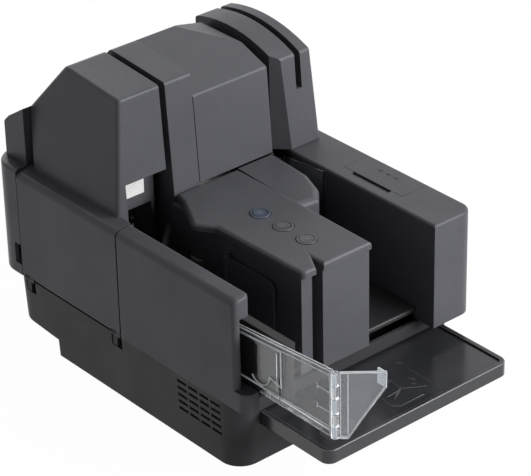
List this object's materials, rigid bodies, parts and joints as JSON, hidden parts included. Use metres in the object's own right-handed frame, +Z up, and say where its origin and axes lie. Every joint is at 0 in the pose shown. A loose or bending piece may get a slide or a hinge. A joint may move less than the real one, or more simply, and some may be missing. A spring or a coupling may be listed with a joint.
{
  "type": "desktop cheque scanner",
  "caption": "Desktop cheque scanner: U-shaped paper path between hinged towers, feed hopper with clear guide and flared wing, button block, exit pocket, card slot, sliding tray.",
  "frame": {"origin": "bottom centre of the whole part's box, at rest, on the plane the rubber feet stand on", "axes": "+X to the machine's right as its user faces it, +Y to its rear, +Z up"},
  "size_m": [0.175, 0.321, 0.1938],
  "materials": {
    "housing_plastic": "fine textured charcoal",
    "cover_plastic": "fine textured charcoal",
    "dark_plastic": "satin black",
    "tray_plastic": "glossy dark",
    "clear_plastic": "clear polycarbonate",
    "button_plastic": "satin",
    "label_white": "bare plate",
    "rubber": "matt",
    "steel": "satin",
    "bronze": "sintered",
    "circuit_board": "solder resist",
    "sensor_black": "glass faced",
    "cartridge": "moulded"
  },
  "bodies": {
    "base": {"lower_housing": "housing_plastic", "rubber_feet": "rubber", "power_inlet": "dark_plastic", "usb_port": "steel", "hopper_side_cover": "cover_plastic", "rear_cover": "cover_plastic", "rear_hood": "cover_plastic", "right_deck": "cover_plastic", "hopper_floor": "dark_plastic", "pocket_floor": "dark_plastic", "track_floor": "dark_plastic", "chassis_plate": "steel", "shaft_bushes": "bronze", "chassis_screws": "steel", "control_body": "cover_plastic", "control_panel": "cover_plastic", "button_board": "circuit_board", "exit_nose": "cover_plastic", "hopper_liner": "dark_plastic", "feed_guide": "dark_plastic", "centre_frame": "cover_plastic", "inner_track": "dark_plastic", "outer_track": "dark_plastic", "tray_rails": "dark_plastic", "guide_rail": "dark_plastic", "drive_motor": "steel", "timing_belt": "rubber", "bearing_plates": "steel", "main_board": "circuit_board", "ink_cartridge": "cartridge", "exit_deflector": "clear_plastic", "left_hinge_pins": "steel", "right_hinge_pins": "steel", "hatch_pins": "steel", "centre_hinge_bracket": "steel", "pusher_pin": "steel", "inner_image_sensor": "sensor_black"},
    "left_cover": {"left_cover": "cover_plastic", "outer_image_sensor": "sensor_black", "magnetic_head": "sensor_black", "feed_label": "label_white"},
    "right_cover": {"right_cover": "cover_plastic", "card_head": "sensor_black"},
    "centre_cover": {"centre_cover": "cover_plastic"},
    "hatch": {"hatch": "cover_plastic"},
    "eject_tray": {"eject_tray": "tray_plastic"},
    "clear_guide": {"clear_guide": "clear_plastic", "guide_tongue": "dark_plastic", "wing_pin": "steel"},
    "guide_wing": {"guide_wing": "clear_plastic"},
    "pusher": {"pusher_plate": "cover_plastic"},
    "power_button": {"power_button": "button_plastic"},
    "eject_button": {"eject_button": "button_plastic"},
    "start_button": {"start_button": "button_plastic"},
    "motor_pulley": {"motor_pulley": "dark_plastic"},
    "feed_roller": {"feed_roller": "rubber"},
    "left_drive_roller": {"left_drive_roller": "rubber"},
    "right_drive_roller": {"right_drive_roller": "rubber"},
    "left_idler": {"left_idler": "rubber"},
    "right_idler": {"right_idler": "rubber"}
  },
  "joints": [
    {"name": "left_cover_hinge", "type": "hinge", "parent": "base", "child": "left_cover", "pos_m": [-0.0859, 0.08377, 0.0465], "axis": [0, -1, 0], "range_deg": [0, 75]},
    {"name": "right_cover_hinge", "type": "hinge", "parent": "base", "child": "right_cover", "pos_m": [0.0811, 0.08377, 0.1177], "axis": [0, 1, 0], "range_deg": [0, 75]},
    {"name": "centre_cover_hinge", "type": "hinge", "parent": "base", "child": "centre_cover", "pos_m": [0.0135, 0.13067, 0.1585], "axis": [-1, 0, 0], "range_deg": [0, 60]},
    {"name": "hatch_hinge", "type": "hinge", "parent": "base", "child": "hatch", "pos_m": [0.0859, -0.01673, 0.1143], "axis": [0, 1, 0], "range_deg": [0, 100]},
    {"name": "tray_slide", "type": "slide", "parent": "base", "child": "eject_tray", "axis": [0, 1, 0], "range_m": [0, 0.05]},
    {"name": "guide_slide", "type": "slide", "parent": "base", "child": "clear_guide", "axis": [0, 1, 0], "range_m": [0, 0.03]},
    {"name": "wing_hinge", "type": "hinge", "parent": "clear_guide", "child": "guide_wing", "pos_m": [-0.0771, -0.14143, 0.0815], "axis": [0, 0, 1], "range_deg": [-40, 45]},
    {"name": "pusher_hinge", "type": "hinge", "parent": "base", "child": "pusher", "pos_m": [-0.0395, -0.00623, 0.0815], "axis": [0, 0, -1], "range_deg": [0, 20], "stiffness_Nm_per_rad": 0.02},
    {"name": "power_button_press", "type": "slide", "parent": "base", "child": "power_button", "axis": [0, 0, -1], "range_m": [0, 0.001], "stiffness_N_per_m": 300},
    {"name": "eject_button_press", "type": "slide", "parent": "base", "child": "eject_button", "axis": [0, 0, -1], "range_m": [0, 0.001], "stiffness_N_per_m": 300},
    {"name": "start_button_press", "type": "slide", "parent": "base", "child": "start_button", "axis": [0, 0, -1], "range_m": [0, 0.001], "stiffness_N_per_m": 300},
    {"name": "motor_spin", "type": "hinge", "parent": "base", "child": "motor_pulley", "pos_m": [-0.0075, 0.01777, 0.0425], "axis": [0, 0, 1], "continuous": true},
    {"name": "left_idler_spin", "type": "hinge", "parent": "left_cover", "child": "left_idler", "pos_m": [-0.042, 0.07977, 0.0785], "axis": [0, 0, 1], "continuous": true},
    {"name": "right_idler_spin", "type": "hinge", "parent": "base", "child": "right_idler", "pos_m": [0.0491, 0.07977, 0.0785], "axis": [0, 0, 1], "continuous": true},
    {"name": "feed_roller_spin", "type": "hinge", "parent": "base", "child": "feed_roller", "pos_m": [-0.0319, 0.02377, 0.0785], "axis": [0, 0, 1], "continuous": true},
    {"name": "left_drive_roller_spin", "type": "hinge", "parent": "base", "child": "left_drive_roller", "pos_m": [-0.0276, 0.07977, 0.0785], "axis": [0, 0, 1], "continuous": true},
    {"name": "right_drive_roller_spin", "type": "hinge", "parent": "base", "child": "right_drive_roller", "pos_m": [0.0347, 0.07977, 0.0785], "axis": [0, 0, 1], "continuous": true}
  ],
  "couplings": [
    {"joint": "motor_spin", "follows": "feed_roller_spin", "ratio": 1.4},
    {"joint": "left_drive_roller_spin", "follows": "feed_roller_spin", "ratio": 1},
    {"joint": "right_drive_roller_spin", "follows": "feed_roller_spin", "ratio": 1}
  ]
}
